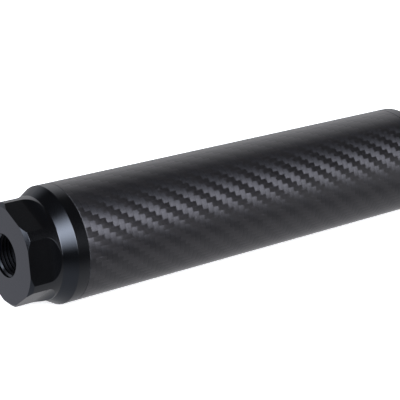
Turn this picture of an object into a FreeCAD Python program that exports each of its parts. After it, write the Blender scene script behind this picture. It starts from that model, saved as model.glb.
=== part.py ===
import FreeCAD, Part
import math
import os

# Inert display piece: a slim carbon-fibre tube with black end caps, lying on its side.
# Millimetres, +Z up. The tube's axis runs along +X, from the hexagonal boss to the closed
# front face. The origin is on the resting surface, under the middle of the overall length.
# The piece is solid throughout: nothing passes through it, and nothing screws into it.

# ---- Driving dimensions ---------------------------------------------------------------

TUBE_RADIUS = 21.0            # outside of the sleeve and of both cap bands
SLEEVE_LENGTH = 157.3
SLEEVE_WALL = 1.6
EDGE_ROUNDING = 0.2           # outside edges are broken by this radius
BOSS_ROUNDING = 0.1           # radius along the boss's chamfer and flats

BOSS_RADIUS = 18.35           # round stock that the hexagon is milled from
BOSS_LENGTH = 11.9
BOSS_CHAMFER = 1.15           # takes the hexagon's front corners off
FLAT_COUNT = 6
ACROSS_FLATS = 33.3
FLAT_LENGTH = 7.2             # straight part of each flat, from the boss's face
FLAT_RUNOUT_RADIUS = 6.0      # hollow curve that brings each flat back out to the round stock
HEXAGON_ROLL = -6.4           # degrees from +Y towards +Z to the first flat

CONE_LENGTH = 4.5             # from the boss's round stock out to the band
CONE_ROOT_RADIUS = 0.3        # hollow corner where the boss meets the cone
REAR_BAND_LENGTH = 4.4

RECESS_MOUTH_RADIUS = 7.7     # blind recess in the boss's face
RECESS_MOUTH_LENGTH = 1.0     # plain stretch before the first ring
RECESS_RADIUS = 7.15          # at the crests between the rings
RECESS_DEPTH = 10.0
RING_COUNT = 6                # closed ornamental grooves, each one flat, not a helix
RING_PITCH = 1.35
RING_DEPTH = 0.5
CREST_WIDTH = 0.25

SEAL_WIDTH = 0.2              # dark joint ring between each cap and the sleeve
SEAL_SINK = 0.08              # how far the ring lies below the tube's surface
JOINT_ROUNDING = 0.1          # edges on either side of a joint ring

FRONT_BAND_LENGTH = 4.8
FRONT_BEVEL_LENGTH = 4.5
FRONT_FACE_RADIUS = 18.35

REGISTER_LENGTH = 10.0        # shoulder of each cap that the sleeve slides over

# ---- Places along the axis, from the boss's face ----------------------------------------

SLEEVE_BORE_RADIUS = TUBE_RADIUS - SLEEVE_WALL
CONE_START = BOSS_LENGTH
BAND_START = CONE_START + CONE_LENGTH
REAR_SEAL_START = BAND_START + REAR_BAND_LENGTH
SLEEVE_START = REAR_SEAL_START + SEAL_WIDTH
SLEEVE_END = SLEEVE_START + SLEEVE_LENGTH
FRONT_BAND_START = SLEEVE_END + SEAL_WIDTH
FRONT_BEVEL_START = FRONT_BAND_START + FRONT_BAND_LENGTH
OVERALL_LENGTH = FRONT_BEVEL_START + FRONT_BEVEL_LENGTH
CORE_START = SLEEVE_START + REGISTER_LENGTH
CORE_END = SLEEVE_END - REGISTER_LENGTH

X_AXIS = FreeCAD.Vector(1, 0, 0)
ORIGIN = FreeCAD.Vector(0, 0, 0)
FULL_TURN = 360
CUTTER_CLEARANCE = 1.0        # how far a cutter starts in front of the boss's face
SMALL = 0.01                  # how closely an edge's place is matched


def turned(profile):
    """A solid of revolution about X. The profile's points are (place along the axis, radius)."""
    points = [FreeCAD.Vector(x, 0, radius) for x, radius in profile]
    outline = Part.makePolygon(points + [points[0]])
    return Part.Face(outline).revolve(ORIGIN, X_AXIS, FULL_TURN)


def laid_down(shape):
    """Move a shape from the boss-face frame to where the piece lies."""
    placed = shape.copy()
    placed.translate(FreeCAD.Vector(-OVERALL_LENGTH / 2, 0, TUBE_RADIUS))
    return placed


def recess_profile():
    """The blind recess's wall, from its mouth to the centre of its solid bottom."""
    first_crest = RECESS_MOUTH_LENGTH + RECESS_MOUTH_RADIUS - RECESS_RADIUS
    groove_width = RING_PITCH - CREST_WIDTH
    points = [(0, RECESS_MOUTH_RADIUS), (RECESS_MOUTH_LENGTH, RECESS_MOUTH_RADIUS)]
    for index in range(RING_COUNT):
        crest = first_crest + index * RING_PITCH
        points.append((crest, RECESS_RADIUS))
        points.append((crest + CREST_WIDTH, RECESS_RADIUS))
        points.append((crest + CREST_WIDTH + groove_width / 2, RECESS_RADIUS + RING_DEPTH))
    points.append((first_crest + RING_COUNT * RING_PITCH, RECESS_RADIUS))
    points.append((RECESS_DEPTH, RECESS_RADIUS))
    points.append((RECESS_DEPTH, 0))
    return points


def edges_between(shape, start, end, least_radius):
    """Edges whose middle lies in that stretch of the axis, at that radius or further out.

    A turned face closes on itself along a line straight above the axis, which isn't a real edge.
    """
    found = []
    for edge in shape.Edges:
        middle = edge.valueAt((edge.FirstParameter + edge.LastParameter) / 2)
        on_closing_line = abs(middle.y) < SMALL and middle.z > 0
        in_stretch = start - SMALL < middle.x < end + SMALL
        if in_stretch and not on_closing_line and math.hypot(middle.y, middle.z) > least_radius - SMALL:
            found.append(edge)
    return found


def rounded(shape, radius, start, end, least_radius):
    """The shape with the edges of that stretch rounded, along with any that run on smoothly."""
    return shape.makeFillet(radius, edges_between(shape, start, end, least_radius))


def flat_cutter():
    """The space beyond one flat, which faces +Y: straight, then curving out of the stock."""
    flat = ACROSS_FLATS / 2
    clear = TUBE_RADIUS + FLAT_RUNOUT_RADIUS
    runout_end = FLAT_LENGTH + FLAT_RUNOUT_RADIUS
    halfway = math.pi / 4
    start = FreeCAD.Vector(FLAT_LENGTH, flat, 0)
    middle = FreeCAD.Vector(
        FLAT_LENGTH + FLAT_RUNOUT_RADIUS * math.sin(halfway),
        flat + FLAT_RUNOUT_RADIUS * (1 - math.cos(halfway)),
        0,
    )
    end = FreeCAD.Vector(runout_end, flat + FLAT_RUNOUT_RADIUS, 0)
    corners = [
        end,
        FreeCAD.Vector(runout_end, clear, 0),
        FreeCAD.Vector(-CUTTER_CLEARANCE, clear, 0),
        FreeCAD.Vector(-CUTTER_CLEARANCE, flat, 0),
        start,
    ]
    edges = [Part.Arc(start, middle, end).toShape()]
    for first, second in zip(corners, corners[1:]):
        edges.append(Part.LineSegment(first, second).toShape())
    section = Part.Face(Part.Wire(edges))
    cutter = section.extrude(FreeCAD.Vector(0, 0, 2 * TUBE_RADIUS))
    cutter.translate(FreeCAD.Vector(0, 0, -TUBE_RADIUS))
    return cutter


def rear_cap():
    """Hexagonal boss, cone, band and register, turned and milled from one solid bar."""
    outside = [
        (CORE_START, 0),
        (CORE_START, SLEEVE_BORE_RADIUS),
        (REAR_SEAL_START, SLEEVE_BORE_RADIUS),
        (REAR_SEAL_START, TUBE_RADIUS),
        (BAND_START, TUBE_RADIUS),
        (CONE_START, BOSS_RADIUS),
        (BOSS_CHAMFER, BOSS_RADIUS),
        (0, BOSS_RADIUS - BOSS_CHAMFER),
    ]
    cap = turned(recess_profile() + outside)
    cutter = flat_cutter()
    for index in range(FLAT_COUNT):
        one = cutter.copy()
        one.rotate(ORIGIN, X_AXIS, index * FULL_TURN / FLAT_COUNT)
        cap = cap.cut(one)
    before_runout = FLAT_LENGTH - EDGE_ROUNDING
    cap = rounded(cap, BOSS_ROUNDING, 0, before_runout, ACROSS_FLATS / 2)
    cap = rounded(cap, CONE_ROOT_RADIUS, CONE_START, CONE_START, BOSS_RADIUS)
    cap = rounded(cap, EDGE_ROUNDING, BAND_START, BAND_START, TUBE_RADIUS)
    cap = rounded(cap, JOINT_ROUNDING, REAR_SEAL_START, REAR_SEAL_START, TUBE_RADIUS)
    cap.rotate(ORIGIN, X_AXIS, HEXAGON_ROLL)
    return cap


def front_cap():
    """Register, band and bevel that close the other end with a plain flat face."""
    cap = turned([
        (CORE_END, 0),
        (CORE_END, SLEEVE_BORE_RADIUS),
        (FRONT_BAND_START, SLEEVE_BORE_RADIUS),
        (FRONT_BAND_START, TUBE_RADIUS),
        (FRONT_BEVEL_START, TUBE_RADIUS),
        (OVERALL_LENGTH, FRONT_FACE_RADIUS),
        (OVERALL_LENGTH, 0),
    ])
    cap = rounded(cap, JOINT_ROUNDING, FRONT_BAND_START, FRONT_BAND_START, TUBE_RADIUS)
    cap = rounded(cap, EDGE_ROUNDING, FRONT_BEVEL_START, FRONT_BEVEL_START, TUBE_RADIUS)
    return rounded(cap, EDGE_ROUNDING, OVERALL_LENGTH, OVERALL_LENGTH, FRONT_FACE_RADIUS)


def joint_seal(start):
    """Thin dark ring that fills the joint between a cap and the sleeve."""
    return turned([
        (start, SLEEVE_BORE_RADIUS),
        (start + SEAL_WIDTH, SLEEVE_BORE_RADIUS),
        (start + SEAL_WIDTH, TUBE_RADIUS - SEAL_SINK),
        (start, TUBE_RADIUS - SEAL_SINK),
    ])


def carbon_sleeve():
    """Rolled carbon-fibre tube, cut square at both ends."""
    sleeve = turned([
        (SLEEVE_START, SLEEVE_BORE_RADIUS),
        (SLEEVE_END, SLEEVE_BORE_RADIUS),
        (SLEEVE_END, TUBE_RADIUS),
        (SLEEVE_START, TUBE_RADIUS),
    ])
    sleeve = rounded(sleeve, JOINT_ROUNDING, SLEEVE_START, SLEEVE_START, TUBE_RADIUS)
    return rounded(sleeve, JOINT_ROUNDING, SLEEVE_END, SLEEVE_END, TUBE_RADIUS)


def inert_core():
    """Solid bar that fills the sleeve between the two caps."""
    return turned([
        (CORE_START, 0),
        (CORE_START, SLEEVE_BORE_RADIUS),
        (CORE_END, SLEEVE_BORE_RADIUS),
        (CORE_END, 0),
    ])


PIECES = {
    "rear_cap": rear_cap(),
    "rear_seal": joint_seal(REAR_SEAL_START),
    "carbon_sleeve": carbon_sleeve(),
    "inert_core": inert_core(),
    "front_seal": joint_seal(SLEEVE_END),
    "front_cap": front_cap(),
}

os.makedirs("parts", exist_ok=True)
for name, shape in PIECES.items():
    piece = laid_down(shape)
    piece.exportStep(os.path.join("parts", name + ".step"))
    print(name, "valid", piece.isValid(), "solids", len(piece.Solids), "volume", round(piece.Volume, 1))
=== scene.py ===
import math

import bpy
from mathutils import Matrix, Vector


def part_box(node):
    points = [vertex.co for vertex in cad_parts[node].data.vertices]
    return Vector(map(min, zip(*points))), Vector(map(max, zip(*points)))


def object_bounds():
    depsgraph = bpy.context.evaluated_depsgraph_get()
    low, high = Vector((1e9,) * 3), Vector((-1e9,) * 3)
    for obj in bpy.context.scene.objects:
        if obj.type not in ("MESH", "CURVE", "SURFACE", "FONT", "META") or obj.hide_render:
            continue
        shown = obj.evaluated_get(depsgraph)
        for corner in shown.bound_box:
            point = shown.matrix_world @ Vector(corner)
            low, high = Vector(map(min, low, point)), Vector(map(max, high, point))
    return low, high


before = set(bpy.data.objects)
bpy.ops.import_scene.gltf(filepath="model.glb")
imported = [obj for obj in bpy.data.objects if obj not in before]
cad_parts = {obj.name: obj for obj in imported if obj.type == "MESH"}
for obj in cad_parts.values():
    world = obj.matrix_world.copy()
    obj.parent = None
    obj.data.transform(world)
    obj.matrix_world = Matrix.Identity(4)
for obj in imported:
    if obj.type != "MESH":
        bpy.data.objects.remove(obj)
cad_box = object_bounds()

# An inert display tube: woven carbon-fibre sleeve, black anodised end caps, thin dark joint rings.
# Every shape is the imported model's own. This script gives it its surfaces, light and camera.
# Lengths are in metres. The tube's axis runs along X; "theta" is the angle round it, measured
# from -Y (the side towards the camera) up towards +Z.

# ---- Places taken from the frame -------------------------------------------------------

TUBE_LOW, TUBE_HIGH = cad_box
MIDDLE = (TUBE_LOW + TUBE_HIGH) / 2
AXIS_HEIGHT = MIDDLE.z
FLOOR_HEIGHT = TUBE_LOW.z
SLEEVE_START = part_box("carbon_sleeve")[0].x
BOSS_FACE = TUBE_LOW.x
RECESS_RADIUS = 0.009         # a little more than the blind recess in the boss's face
RECESS_MOUTH = 0.0016         # how far in its mouth reaches, which has no painted shade
RECESS_CREST = 0.00715        # radius of the crests between its rings
RECESS_SHADE_FADE = 0.0003          # how gradually the recess's rougher finish and painted shade begin
CREST_FADE = (0.00012, 0.00002)   # how far outside that radius the crests' lighter painted shade starts and is full
CREST_SHADE_LIFT = 0.2            # how much of the recess's roughness and painted shade the crests lose

# ---- Camera ----------------------------------------------------------------------------

CAMERA_AZIMUTH = -37.0        # degrees; 0 looks along +Y
CAMERA_ELEVATION = 19.09
CAMERA_DISTANCE = 0.5075
CAMERA_LENS = 120.89          # millimetres
SENSOR_WIDTH = 36             # millimetres
CAMERA_CLIP = (0.01, 50)
AIM = MIDDLE + Vector((-0.00701, 0.00574, 0.00021))

# ---- Weave -----------------------------------------------------------------------------

TOW_PITCH = 0.0022            # width of one tow that runs round the tube
TOWS_AROUND = 72              # a multiple of four, so that the twill closes on itself
WEAVE_SHIFT_ALONG = 0.045     # in tows
WEAVE_SHIFT_AROUND = -0.1     # in tows
TWILL_REPEAT = 4.0            # over two tows and under two
BEND_DEPTH = 0.00004          # how far a float sinks at its ends
CROWN_DEPTH = 0.00003         # how far a tow's edges lie below its middle
FIBRE_DEPTH = 0.000008
FIBRES_ACROSS = 14.0          # grain of the single fibres, across half a tow
FIBRES_ALONG = 0.5            # and along half a float
BEND_SHAPE = 2.6              # powers that a float's bend and a tow's crown follow
CROWN_SHAPE = 2.2
TOW_EDGE_PAINTED_SHADE = (0.82, 1.0, 1.0, 0.75)   # painted shade towards a tow's edge, where its crown turns from the light: from here to the edge, from this brightness to that
AXIAL_PAINTED_SHEEN = 1.35             # painted sheen: tows along the tube are painted brighter than those round it
AXIAL_ROUGHNESS = 0.44
HOOP_ROUGHNESS = 0.5
CARBON_COLOUR = (0.075, 0.073, 0.0787, 1)
GRAZING_TINT = (0.5, 0.5, 0.5, 1)
BLACK = (0.0, 0.0, 0.0, 1)

# ---- Anodised metal --------------------------------------------------------------------

ANODISED_COLOURS = ((0.0005, 0.0005, 0.0006, 1), (0.0012, 0.0012, 0.0014, 1))
ANODISED_ROUGHNESS = (0.13, 0.06)      # least, and how much the clouding adds
RECESS_ROUGHNESS = 0.45
ANODISED_TINT = (0.86, 0.91, 1.0, 1)
# painted shade: dark tint for the recess's reflection, standing in for the shade deep inside it
RECESS_SHADE_TINT = (0.08, 0.08, 0.09, 1)
TURNING_GRAIN = 2200.0        # noise cells per metre across the turning rings
TURNING_DEPTH = 0.000002
CLOUD_GRAIN = 160.0

# ---- Seal and core ---------------------------------------------------------------------

SEAL_COLOURS = ((0.006, 0.006, 0.007, 1), (0.012, 0.012, 0.013, 1))
SEAL_GRAIN = 1800.0
SEAL_DEPTH = 0.00002
CORE_COLOURS = ((0.14, 0.14, 0.15, 1), (0.22, 0.22, 0.23, 1))
CORE_GRAIN = 300.0

# ---- Studio ----------------------------------------------------------------------------

FLOOR_HALF_WIDTH = 4.0
FLOOR_GRAIN = 3.0
FLOOR_COLOURS = ((0.86, 0.86, 0.86, 1), (0.9, 0.9, 0.9, 1))
FLOOR_GLOW = 0.75
LAMP_ELEVATION = 80           # degrees
LAMP_DISTANCE = 1.6
LAMP_SIZE = 2.5
LAMP_POWER = 20               # watts

# How bright each part of the surroundings is, as the tube reflects it
DARK_LIGHT = 0.052            # above and in front
TABLE_LIGHT = 0.45            # straight below
BACKDROP_LIGHT = (0.42, 0.75)     # at its foot and at its top
BACKDROP_MIDDLE = 0.66        # share of that in its middle
LEFT_LIGHT = 0.32             # added at the back left
FILL_LIGHT = 0.6              # added at the right
BOX_LIGHT = 7.2               # soft box at the front left
BOX_RIGHT_GAIN = 1.55         # its right-hand part is this much brighter

# Where each part begins and where it is full, along a direction's x, y or z
TABLE_FADE = (-0.15, -0.75)           # z
BACKDROP_NEAR = (0.0, 0.45)           # y
BACKDROP_TOP = (0.93, 0.53)           # z
BACKDROP_RISE = (-0.1, 0.4)           # z, from the light at its foot to that at its top
BACKDROP_SIDES = (0.1, 0.55)          # x either way, from its middle's share to the whole
BACKDROP_DIP = (0.0, 0.5, 0.1, 0.0)   # x, and how much lower its top edge lies on the left
LEFT_ACROSS = (-0.1, -0.5)            # x
LEFT_DEPTH = (0.0, 0.5)               # y
LEFT_TOP = (0.5, 0.0)                 # z
FILL_AZIMUTH = 58                     # degrees
FILL_FADE = (0.86, 1.0)               # cosine of the angle from the fill's middle
BOX_LEFT = (-0.92, -0.7)              # x
BOX_BACK = (0.3, -0.1)                # y

# The same for the soft box, in degrees
BOX_FOOT = (-2, 36)
BOX_TOP = (64, 33)
BOX_RIGHT = (33, -2)
BOX_GAIN_FADE = (-22, -6)
BOX_LEAN_START = -35          # to the right of this azimuth the box leans down,
BOX_LEAN = 0.08               # by this many degrees per degree

# Colour of the light from each side, and of what the camera itself sees
TINT_FADE = (0.4, -0.4)               # x
RIGHT_TINT = (1, 1, 1.04, 1)
FRONT_LEFT_TINT = (0.94, 1, 1.13, 1)
BACK_LEFT_TINT = (0.91, 0.915, 1.02, 1)
WHITE = (1, 1, 1, 1)


def direction(azimuth, elevation):
    a = math.radians(azimuth)
    e = math.radians(elevation)
    return Vector((math.sin(a) * math.cos(e), -math.cos(a) * math.cos(e), math.sin(e)))


def make_camera():
    data = bpy.data.cameras.new("camera")
    data.lens = CAMERA_LENS
    data.sensor_width = SENSOR_WIDTH
    data.clip_start, data.clip_end = CAMERA_CLIP
    camera = bpy.data.objects.new("camera", data)
    bpy.context.scene.collection.objects.link(camera)
    back = direction(CAMERA_AZIMUTH, CAMERA_ELEVATION)
    camera.location = AIM + back * CAMERA_DISTANCE
    camera.rotation_euler = (-back).to_track_quat("-Z", "Y").to_euler()
    bpy.context.scene.camera = camera


# ---- Node helpers ----------------------------------------------------------------------

class Graph:
    """Builds a node tree in few words. A value is a number, a tuple or another node's output."""

    def __init__(self, tree):
        self.tree = tree
        tree.nodes.clear()

    def node(self, kind, inputs=None, **settings):
        made = self.tree.nodes.new(kind)
        for name, value in settings.items():
            setattr(made, name, value)
        for key, value in (inputs or {}).items():
            self.put(made.inputs[key], value)
        return made

    def put(self, socket, value):
        if isinstance(value, bpy.types.NodeSocket):
            self.tree.links.new(value, socket)
        else:
            socket.default_value = value

    def math(self, operation, first, second=0.0, third=0.0):
        made = self.node("ShaderNodeMath", operation=operation)
        for socket, value in zip(made.inputs, (first, second, third)):
            self.put(socket, value)
        return made.outputs[0]

    def product(self, first, *others):
        for other in others:
            first = self.math("MULTIPLY", first, other)
        return first

    def vector(self, operation, first, second=(0.0, 0.0, 0.0)):
        made = self.node("ShaderNodeVectorMath", operation=operation)
        self.put(made.inputs[0], first)
        self.put(made.inputs[1], second)
        return made.outputs["Value"] if operation == "DOT_PRODUCT" else made.outputs["Vector"]

    def mix(self, share, first, second):
        made = self.node("ShaderNodeMix", data_type="FLOAT")
        for index, value in enumerate((share, first, second)):
            self.put(made.inputs[(0, 2, 3)[index]], value)
        return made.outputs[0]

    def mix_vector(self, share, first, second):
        made = self.node("ShaderNodeMix", data_type="VECTOR")
        for index, value in enumerate((share, first, second)):
            self.put(made.inputs[(0, 4, 5)[index]], value)
        return made.outputs[1]

    def mix_colour(self, share, first, second):
        made = self.node("ShaderNodeMix", data_type="RGBA")
        for index, value in enumerate((share, first, second)):
            self.put(made.inputs[(0, 6, 7)[index]], value)
        return made.outputs[2]

    def smooth(self, value, low, high, to_low=0.0, to_high=1.0):
        made = self.node("ShaderNodeMapRange", interpolation_type="SMOOTHSTEP")
        for socket, number in zip(made.inputs, (value, low, high, to_low, to_high)):
            self.put(socket, number)
        return made.outputs[0]

    def combine(self, x, y, z):
        return self.node("ShaderNodeCombineXYZ", {0: x, 1: y, 2: z}).outputs[0]

    def split(self, value):
        return self.node("ShaderNodeSeparateXYZ", {0: value}).outputs

    def noise(self, place, scale, detail=2.0, roughness=0.5):
        inputs = {"Vector": place, "Scale": scale, "Detail": detail, "Roughness": roughness}
        return self.node("ShaderNodeTexNoise", inputs).outputs["Fac"]

    def random(self, place):
        made = self.node("ShaderNodeTexWhiteNoise", {"Vector": place}, noise_dimensions="3D")
        return made.outputs["Value"]


def new_material(name):
    material = bpy.data.materials.new(name)
    material.use_nodes = True
    return material, Graph(material.node_tree)


def finish_material(graph, inputs):
    shader = graph.node("ShaderNodeBsdfPrincipled", inputs)
    graph.node("ShaderNodeOutputMaterial", {"Surface": shader.outputs[0]})


# ---- Carbon-fibre sleeve ---------------------------------------------------------------

def carbon_material():
    """2/2 twill under a satin clear coat. Each tow reflects along its own fibres."""
    material, g = new_material("carbon_twill")
    place = g.node("ShaderNodeTexCoord").outputs["Object"]
    x, y, z = g.split(place)
    above = g.math("SUBTRACT", z, AXIS_HEIGHT)
    theta = g.math("ARCTAN2", above, g.math("MULTIPLY", y, -1.0))
    around = g.math("MULTIPLY_ADD", theta, TOWS_AROUND / math.tau, WEAVE_SHIFT_AROUND)
    along = g.math("MULTIPLY_ADD", g.math("SUBTRACT", x, SLEEVE_START), 1 / TOW_PITCH, WEAVE_SHIFT_ALONG)
    row = g.math("FLOOR", around)
    column = g.math("FLOOR", along)
    step = g.math("FLOORED_MODULO", g.math("ADD", row, column), TWILL_REPEAT)
    hoop = g.math("GREATER_THAN", step, 1.5)          # 1 where the tow round the tube is on top
    in_row = g.math("FRACT", around)
    in_column = g.math("FRACT", along)
    # place along the float that is on top, from -1 to 1, and across its tow, from -1 to 1
    hoop_along = g.math("ADD", g.math("SUBTRACT", step, 3.0), in_row)
    axial_along = g.math("ADD", g.math("SUBTRACT", step, 1.0), in_column)
    run = g.mix(hoop, axial_along, hoop_along)
    across = g.math("MULTIPLY_ADD", g.mix(hoop, in_row, in_column), 2.0, -1.0)
    # the float bends down at its ends and its tow is rounded across
    bend = g.math("POWER", g.math("ABSOLUTE", run), BEND_SHAPE)
    crown = g.math("POWER", g.math("ABSOLUTE", across), CROWN_SHAPE)
    tow_number = g.combine(g.mix(hoop, row, column), hoop, 0.0)
    # single fibres
    fibre_place = g.combine(
        g.math("MULTIPLY", across, FIBRES_ACROSS),
        g.math("MULTIPLY", run, FIBRES_ALONG),
        g.math("MULTIPLY", g.random(tow_number), 50.0),
    )
    fibres = g.noise(fibre_place, 1.0, 3.0, 0.6)
    height = g.math("MULTIPLY", bend, -BEND_DEPTH)
    height = g.math("MULTIPLY_ADD", crown, -CROWN_DEPTH, height)
    height = g.math("MULTIPLY_ADD", fibres, FIBRE_DEPTH, height)
    bump = g.node("ShaderNodeBump", {"Height": height, "Distance": 1.0, "Strength": 1.0})
    # fibres reflect most strongly across their own direction
    nx, ny, nz = g.split(g.node("ShaderNodeNewGeometry").outputs["Normal"])
    round_tube = g.combine(0.0, g.math("MULTIPLY", nz, -1.0), ny)
    tangent = g.vector("NORMALIZE", g.mix_vector(hoop, round_tube, (1.0, 0.0, 0.0)))
    # Fibres and tows differ a little in brightness. A tow's edges are painted darker, as painted shade
    # where its crown turns from the light, and tows along the tube get a painted sheen that makes them
    # brighter than those round it. The mix of colours stops at full brightness, which tows along the
    # tube reach nearly all over.
    shade = g.product(
        g.math("MULTIPLY_ADD", fibres, 0.3, 0.82),
        g.math("MULTIPLY_ADD", g.random(tow_number), 0.1, 0.95),
        g.smooth(g.math("ABSOLUTE", across), *TOW_EDGE_PAINTED_SHADE),
        g.mix(hoop, AXIAL_PAINTED_SHEEN, 1.0),
    )
    colour = g.mix_colour(shade, BLACK, CARBON_COLOUR)
    inputs = {
        "Base Color": colour,
        "Metallic": 1.0,
        "Roughness": g.mix(hoop, AXIAL_ROUGHNESS, HOOP_ROUGHNESS),
        "Specular Tint": GRAZING_TINT,
        "Anisotropic": 0.74,
        "Tangent": tangent,
        "Normal": bump.outputs[0],
        "Coat Weight": 1.0,
        "Coat Roughness": 0.14,
        "Coat IOR": 1.4,
    }
    finish_material(g, inputs)
    return material


# ---- Anodised caps ---------------------------------------------------------------------

def anodised_material():
    """Black anodised aluminium with the fine rings that turning leaves, and painted shade inside the
    recess.
    """
    material, g = new_material("black_anodised")
    place = g.node("ShaderNodeTexCoord").outputs["Object"]
    x, y, z = g.split(place)
    above = g.math("SUBTRACT", z, AXIS_HEIGHT)
    radius = g.math("SQRT", g.math("ADD", g.math("POWER", y, 2.0), g.math("POWER", above, 2.0)))
    rings = g.noise(g.combine(x, radius, 0.0), TURNING_GRAIN, 3.0, 0.6)
    cloud = g.noise(place, CLOUD_GRAIN, 3.0, 0.6)
    bump = g.node("ShaderNodeBump", {"Height": rings, "Distance": TURNING_DEPTH, "Strength": 1.0})
    least, clouding = ANODISED_ROUGHNESS
    roughness = g.math("MULTIPLY_ADD", cloud, clouding, least)
    colour = g.mix_colour(cloud, *ANODISED_COLOURS)
    # behind its mouth the recess is rougher and its reflection is tinted dark as painted shade, a little
    # lighter on the crests between its rings
    inwards = g.math("SUBTRACT", x, BOSS_FACE + RECESS_MOUTH)
    recess = g.product(
        g.smooth(radius, RECESS_RADIUS, RECESS_RADIUS - RECESS_SHADE_FADE),
        g.smooth(inwards, 0.0, RECESS_SHADE_FADE),
        g.math("LESS_THAN", x, MIDDLE.x),
    )
    crest = g.smooth(radius, *(RECESS_CREST + fade for fade in CREST_FADE))
    recess_shade_and_roughness = g.math("MULTIPLY", recess, g.math("MULTIPLY_ADD", crest, -CREST_SHADE_LIFT, 1.0))
    inputs = {
        "Base Color": colour,
        "Roughness": g.mix(recess_shade_and_roughness, roughness, RECESS_ROUGHNESS),
        "IOR": 1.6,
        "Specular Tint": g.mix_colour(recess_shade_and_roughness, ANODISED_TINT, RECESS_SHADE_TINT),
        "Normal": bump.outputs[0],
    }
    finish_material(g, inputs)
    return material


def seal_material():
    """Matt black sealing compound."""
    material, g = new_material("joint_seal")
    place = g.node("ShaderNodeTexCoord").outputs["Object"]
    grain = g.noise(place, SEAL_GRAIN)
    bump = g.node("ShaderNodeBump", {"Height": grain, "Distance": SEAL_DEPTH, "Strength": 1.0})
    inputs = {
        "Base Color": g.mix_colour(grain, *SEAL_COLOURS),
        "Roughness": 0.7,
        "Normal": bump.outputs[0],
    }
    finish_material(g, inputs)
    return material


def core_material():
    """Cast filler that fills the sleeve; it doesn't show."""
    material, g = new_material("cast_core")
    place = g.node("ShaderNodeTexCoord").outputs["Object"]
    grain = g.noise(place, CORE_GRAIN, 4.0)
    inputs = {
        "Base Color": g.mix_colour(grain, *CORE_COLOURS),
        "Roughness": 0.6,
    }
    finish_material(g, inputs)
    return material


def dress(node, material):
    mesh_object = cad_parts[node]
    mesh_object.data.materials.clear()
    mesh_object.data.materials.append(material)


# ---- Floor, lamp and surroundings --------------------------------------------------------

def make_floor():
    half = FLOOR_HALF_WIDTH
    corners = [(-half, -half), (half, -half), (half, half), (-half, half)]
    mesh = bpy.data.meshes.new("floor")
    mesh.from_pydata([(x, y, FLOOR_HEIGHT) for x, y in corners], [], [(0, 1, 2, 3)])
    floor = bpy.data.objects.new("floor", mesh)
    bpy.context.scene.collection.objects.link(floor)
    material, g = new_material("pale_floor")
    grain = g.noise(g.node("ShaderNodeTexCoord").outputs["Object"], FLOOR_GRAIN)
    inputs = {
        "Base Color": g.mix_colour(grain, *FLOOR_COLOURS),
        "Roughness": 0.9,
        "Emission Color": WHITE,
        "Emission Strength": FLOOR_GLOW,
    }
    finish_material(g, inputs)
    mesh.materials.append(material)
    # the tube's light comes from the surroundings, so the floor neither shows in it nor blocks them
    floor.visible_glossy = False
    floor.visible_diffuse = False
    floor.visible_shadow = False


def make_lamp():
    """Large square lamp above the tube. It doesn't show in glossy surfaces."""
    data = bpy.data.lights.new("overhead", "AREA")
    data.shape = "SQUARE"
    data.size = LAMP_SIZE
    data.energy = LAMP_POWER
    lamp = bpy.data.objects.new("overhead", data)
    bpy.context.scene.collection.objects.link(lamp)
    way = direction(0, LAMP_ELEVATION)
    lamp.location = MIDDLE + way * LAMP_DISTANCE
    lamp.rotation_euler = way.to_track_quat("Z", "Y").to_euler()
    lamp.visible_glossy = False


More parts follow.
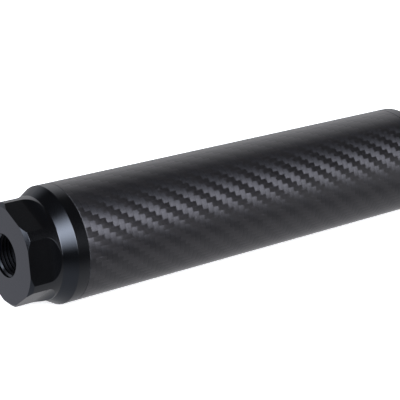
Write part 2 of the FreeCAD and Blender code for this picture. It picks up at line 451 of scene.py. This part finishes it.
def make_surroundings():
    """Pale table below and backdrop behind, a soft box at the front left, dark above.

    They light the tube; the camera itself sees plain white.
    """
    world = bpy.data.worlds.new("studio")
    bpy.context.scene.world = world
    world.use_nodes = True
    g = Graph(world.node_tree)
    way = g.node("ShaderNodeTexCoord").outputs["Generated"]
    x, y, z = g.split(way)
    elevation = g.math("DEGREES", g.math("ARCSINE", z))
    azimuth = g.math("DEGREES", g.math("ARCTAN2", x, g.math("MULTIPLY", y, -1.0)))

    table = g.smooth(z, *TABLE_FADE, DARK_LIGHT, TABLE_LIGHT)
    height = g.math("ADD", z, g.smooth(x, *BACKDROP_DIP))
    backdrop = g.product(
        g.smooth(y, *BACKDROP_NEAR),
        g.smooth(height, *BACKDROP_TOP),
        g.smooth(z, *BACKDROP_RISE, *BACKDROP_LIGHT),
        g.smooth(g.math("ABSOLUTE", x), *BACKDROP_SIDES, BACKDROP_MIDDLE, 1.0),
    )
    light = g.math("MAXIMUM", table, backdrop)
    left = g.product(g.smooth(x, *LEFT_ACROSS), g.smooth(y, *LEFT_DEPTH))
    light = g.math("MULTIPLY_ADD", g.product(left, g.smooth(z, *LEFT_TOP)), LEFT_LIGHT, light)
    towards_fill = g.vector("DOT_PRODUCT", way, tuple(direction(FILL_AZIMUTH, 0)))
    light = g.math("ADD", light, g.smooth(towards_fill, *FILL_FADE, 0.0, FILL_LIGHT))

    to_right = g.math("MAXIMUM", g.math("SUBTRACT", azimuth, BOX_LEAN_START), 0.0)
    leaning = g.math("MULTIPLY_ADD", to_right, BOX_LEAN, elevation)
    box = g.product(
        g.smooth(leaning, *BOX_FOOT),
        g.smooth(leaning, *BOX_TOP),
        g.smooth(x, *BOX_LEFT),
        g.smooth(y, *BOX_BACK),
        g.smooth(azimuth, *BOX_RIGHT, 0.0, BOX_LIGHT),
        g.smooth(azimuth, *BOX_GAIN_FADE, 1.0, BOX_RIGHT_GAIN),
    )
    light = g.math("ADD", light, box)

    tint = g.mix_colour(g.smooth(x, *TINT_FADE), RIGHT_TINT, FRONT_LEFT_TINT)
    tint = g.mix_colour(left, tint, BACK_LEFT_TINT)
    seen = g.node("ShaderNodeLightPath").outputs["Is Camera Ray"]
    background = g.node("ShaderNodeBackground", {
        "Color": g.mix_colour(seen, tint, WHITE),
        "Strength": g.mix(seen, light, 1.0),
    })
    g.node("ShaderNodeOutputWorld", {"Surface": background.outputs[0]})


# ---- Scene -----------------------------------------------------------------------------

make_camera()
anodised = anodised_material()
seal = seal_material()
dress("rear_cap", anodised)
dress("front_cap", anodised)
dress("rear_seal", seal)
dress("front_seal", seal)
dress("carbon_sleeve", carbon_material())
dress("inert_core", core_material())
make_floor()
make_surroundings()
make_lamp()

view = bpy.context.scene.view_settings
view.view_transform = "Standard"
view.look = "None"
